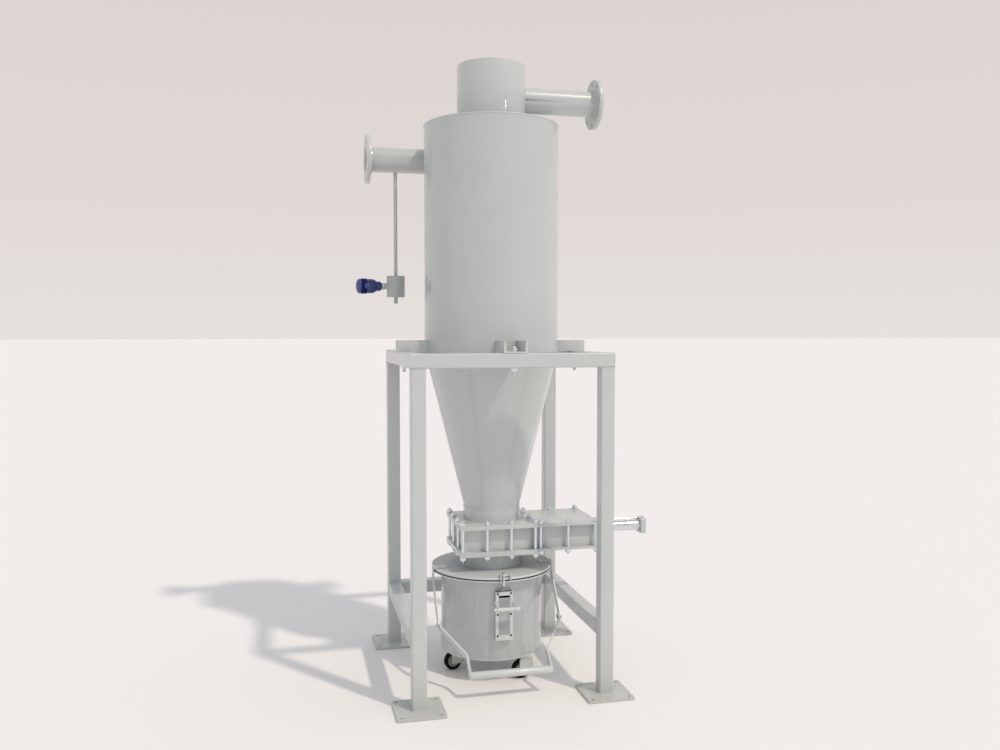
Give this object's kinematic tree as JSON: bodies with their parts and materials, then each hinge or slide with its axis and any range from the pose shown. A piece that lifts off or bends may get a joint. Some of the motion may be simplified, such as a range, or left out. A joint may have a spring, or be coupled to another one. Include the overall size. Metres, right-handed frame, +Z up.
{
  "type": "cyclone dust collector",
  "caption": "Steel cyclone dust collector on a square-tube frame, with a pneumatic slide gate, a level pot with transmitter and a clamped dust bin on casters.",
  "frame": {"origin": "on the floor, under the cyclone's axis", "axes": "+Z up, +X to the clean air outlet and the gate cylinder, -Y to the open front with the bin latch"},
  "size_m": [1.326, 1.04, 2.699],
  "materials": {
    "grey_paint": "gloss",
    "pale_paint": "gloss",
    "zinc": "satin",
    "polished": "polished",
    "navy": "gloss",
    "gasket": "matt",
    "tyre": "matt"
  },
  "bodies": {
    "stand": {"leg_front_left": "grey_paint", "leg_front_right": "grey_paint", "leg_back_left": "grey_paint", "leg_back_right": "grey_paint", "base_plates": "grey_paint", "ring_front": "grey_paint", "ring_back": "grey_paint", "ring_left": "grey_paint", "ring_right": "grey_paint", "tie_left": "grey_paint", "tie_right": "grey_paint", "tie_back": "grey_paint", "support_brackets": "grey_paint", "large_bolts": "zinc", "body_shell": "grey_paint", "roof_plate": "grey_paint", "clean_air_head": "grey_paint", "vortex_finder": "grey_paint", "cone": "grey_paint", "upper_neck": "grey_paint", "inlet_pipe": "grey_paint", "inlet_flange": "grey_paint", "outlet_pipe": "grey_paint", "outlet_flange": "grey_paint", "roof_stud": "zinc", "valve_top_plate": "grey_paint", "valve_bottom_plate": "grey_paint", "valve_walls": "grey_paint", "valve_seats": "zinc", "bonnet_plates": "grey_paint", "bonnet_walls": "grey_paint", "cylinder_front_cap": "grey_paint", "cylinder_barrel": "polished", "cylinder_rear_cap": "grey_paint", "air_pipe": "zinc", "tie_rods": "zinc", "rod_nuts": "zinc", "tapping_pipe": "grey_paint", "level_pot": "grey_paint", "sensor_housing": "navy", "sensor_cover": "navy", "lower_neck": "grey_paint", "bin_lid": "grey_paint", "lid_gasket": "gasket", "bin_shell": "grey_paint", "latch_keeper": "grey_paint", "latch_base": "grey_paint", "bail_hangers": "grey_paint", "caster_plates": "zinc"},
    "gate": {"gate_blade": "zinc", "piston_rod": "polished"},
    "latch_handle": {"latch_lever": "pale_paint"},
    "latch_rod": {"latch_hook": "zinc"},
    "bail": {"bail_lever": "pale_paint"},
    "fork_left": {"caster_fork_left": "grey_paint"},
    "wheel_left": {"caster_wheel_left": "tyre"},
    "fork_front": {"caster_fork_front": "grey_paint"},
    "wheel_front": {"caster_wheel_front": "tyre"},
    "fork_back": {"caster_fork_back": "grey_paint"},
    "wheel_back": {"caster_wheel_back": "tyre"}
  },
  "joints": [
    {"name": "gate_slide", "type": "slide", "parent": "stand", "child": "gate", "axis": [1, 0, 0], "range_m": [-0.21, 0]},
    {"name": "latch_turn", "type": "hinge", "parent": "stand", "child": "latch_handle", "pos_m": [0, -0.244, 0.366], "axis": [-1, 0, 0], "range_deg": [0, 60]},
    {"name": "hook_slide", "type": "slide", "parent": "stand", "child": "latch_rod", "axis": [0, 0, 1], "range_m": [0, 0.0101]},
    {"name": "bail_turn", "type": "hinge", "parent": "stand", "child": "bail", "pos_m": [0, -0.17, 0.262], "axis": [-1, 0, 0], "range_deg": [-20, 70]},
    {"name": "swivel_left", "type": "hinge", "parent": "stand", "child": "fork_left", "pos_m": [-0.16, 0, 0.0957], "axis": [0, 0, 1], "continuous": true},
    {"name": "roll_left", "type": "hinge", "parent": "fork_left", "child": "wheel_left", "pos_m": [-0.1797, -0.00347, 0.041], "axis": [0.1736, -0.9848, 0], "continuous": true},
    {"name": "swivel_front", "type": "hinge", "parent": "stand", "child": "fork_front", "pos_m": [0.11208, -0.16806, 0.0957], "axis": [0, 0, 1], "continuous": true},
    {"name": "roll_front", "type": "hinge", "parent": "fork_front", "child": "wheel_front", "pos_m": [0.09238, -0.17153, 0.041], "axis": [0.1736, -0.9848, 0], "continuous": true},
    {"name": "swivel_back", "type": "hinge", "parent": "stand", "child": "fork_back", "pos_m": [0.11208, 0.16806, 0.0957], "axis": [0, 0, 1], "continuous": true},
    {"name": "roll_back", "type": "hinge", "parent": "fork_back", "child": "wheel_back", "pos_m": [0.09238, 0.16458, 0.041], "axis": [0.1736, -0.9848, 0], "continuous": true}
  ],
  "couplings": [
    {"joint": "hook_slide", "follows": "latch_turn", "m_per_rad": 0.0095}
  ]
}
